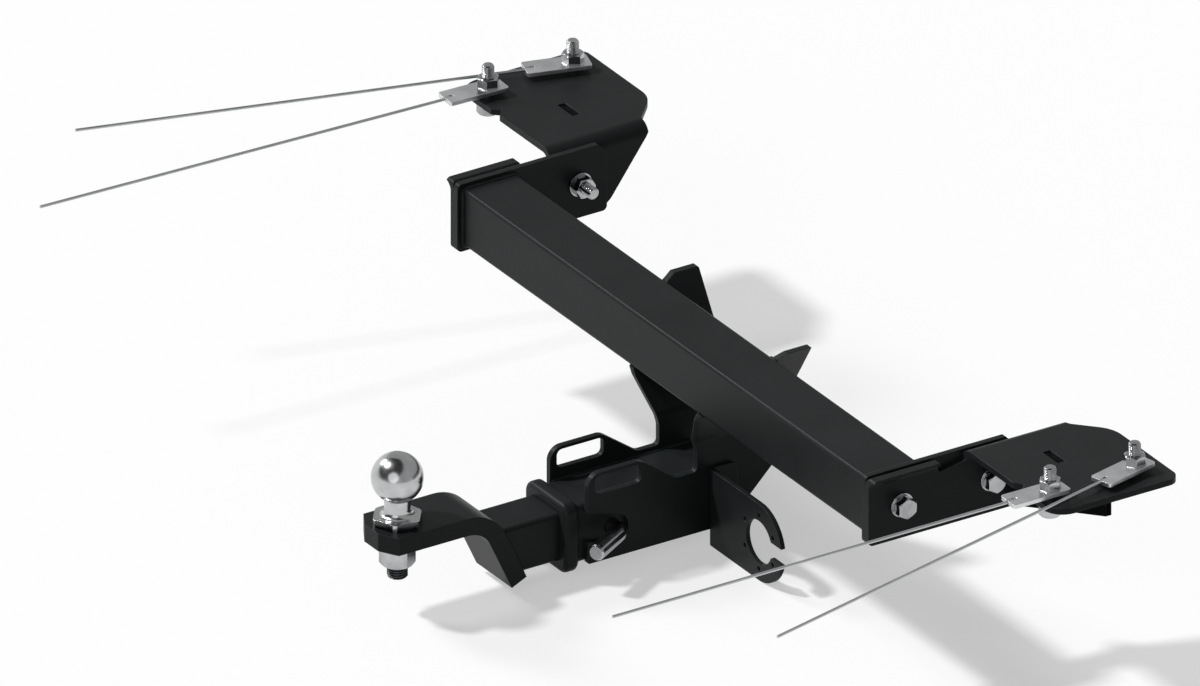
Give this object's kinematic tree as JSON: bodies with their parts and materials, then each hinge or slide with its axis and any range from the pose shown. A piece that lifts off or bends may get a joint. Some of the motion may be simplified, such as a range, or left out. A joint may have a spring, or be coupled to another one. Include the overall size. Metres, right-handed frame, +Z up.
{
  "type": "towbar",
  "caption": "Vehicle towbar: square crossbar on folded chassis brackets, hanging receiver, ball mount on a hitch pin, nut plates with pull wires.",
  "frame": {"origin": "middle of the four chassis bolts, in the plane of the bracket flanges' top faces, which bear on the chassis rails", "axes": "+X to the vehicle's right along the crossbar, +Y forward, +Z up; the tow ball is at -Y"},
  "size_m": [1.2342, 0.6105, 0.2517],
  "materials": {
    "black_coat": "satin powder coat",
    "zinc_plate": "bright zinc plated",
    "zinc_wire": "drawn steel wire",
    "polished_ball": "polished"
  },
  "bodies": {
    "towbar_frame": {"crossbar": "black_coat", "left_side_plate": "black_coat", "right_side_plate": "black_coat", "left_chassis_bracket": "black_coat", "right_chassis_bracket": "black_coat", "left_bracket_rib": "black_coat", "right_bracket_rib": "black_coat", "receiver_tube": "black_coat", "receiver_collar": "black_coat", "left_gusset": "black_coat", "right_gusset": "black_coat", "socket_plate": "black_coat", "ball_mount_tongue": "black_coat", "ball_mount_shank": "black_coat", "tow_ball": "polished_ball", "ball_spring_washer": "zinc_plate", "ball_nut": "zinc_plate", "left_side_bolts": "zinc_plate", "right_side_bolts": "zinc_plate", "left_side_nuts": "zinc_plate", "right_side_nuts": "zinc_plate", "left_side_washers": "zinc_plate", "right_side_washers": "zinc_plate", "left_chassis_bolts": "zinc_plate", "right_chassis_bolts": "zinc_plate", "left_chassis_washers": "zinc_plate", "right_chassis_washers": "zinc_plate"},
    "hitch_pin": {"hitch_pin": "zinc_plate", "hitch_pin_clip": "zinc_plate"},
    "left_rear_nut_plate": {"left_rear_nut_plate": "zinc_plate", "left_rear_weld_nut": "zinc_plate", "left_rear_pull_wire": "zinc_wire"},
    "left_front_nut_plate": {"left_front_nut_plate": "zinc_plate", "left_front_weld_nut": "zinc_plate", "left_front_pull_wire": "zinc_wire"},
    "right_rear_nut_plate": {"right_rear_nut_plate": "zinc_plate", "right_rear_weld_nut": "zinc_plate", "right_rear_pull_wire": "zinc_wire"},
    "right_front_nut_plate": {"right_front_nut_plate": "zinc_plate", "right_front_weld_nut": "zinc_plate", "right_front_pull_wire": "zinc_wire"}
  },
  "joints": [
    {"name": "hitch_pin_play", "type": "slide", "parent": "towbar_frame", "child": "hitch_pin", "axis": [1, 0, 0], "range_m": [0, 0.0058]},
    {"name": "left_rear_nut_plate_swivel", "type": "hinge", "parent": "towbar_frame", "child": "left_rear_nut_plate", "pos_m": [-0.49, -0.047, 0.01], "axis": [0, 0, 1], "range_deg": [-3.8, 47.2]},
    {"name": "left_front_nut_plate_swivel", "type": "hinge", "parent": "towbar_frame", "child": "left_front_nut_plate", "pos_m": [-0.49, 0.047, 0.01], "axis": [0, 0, 1], "range_deg": [-58, 2]},
    {"name": "right_rear_nut_plate_swivel", "type": "hinge", "parent": "towbar_frame", "child": "right_rear_nut_plate", "pos_m": [0.49, -0.047, 0.01], "axis": [0, 0, 1], "range_deg": [-45, 6]},
    {"name": "right_front_nut_plate_swivel", "type": "hinge", "parent": "towbar_frame", "child": "right_front_nut_plate", "pos_m": [0.49, 0.047, 0.01], "axis": [0, 0, 1], "range_deg": [0, 60]}
  ]
}
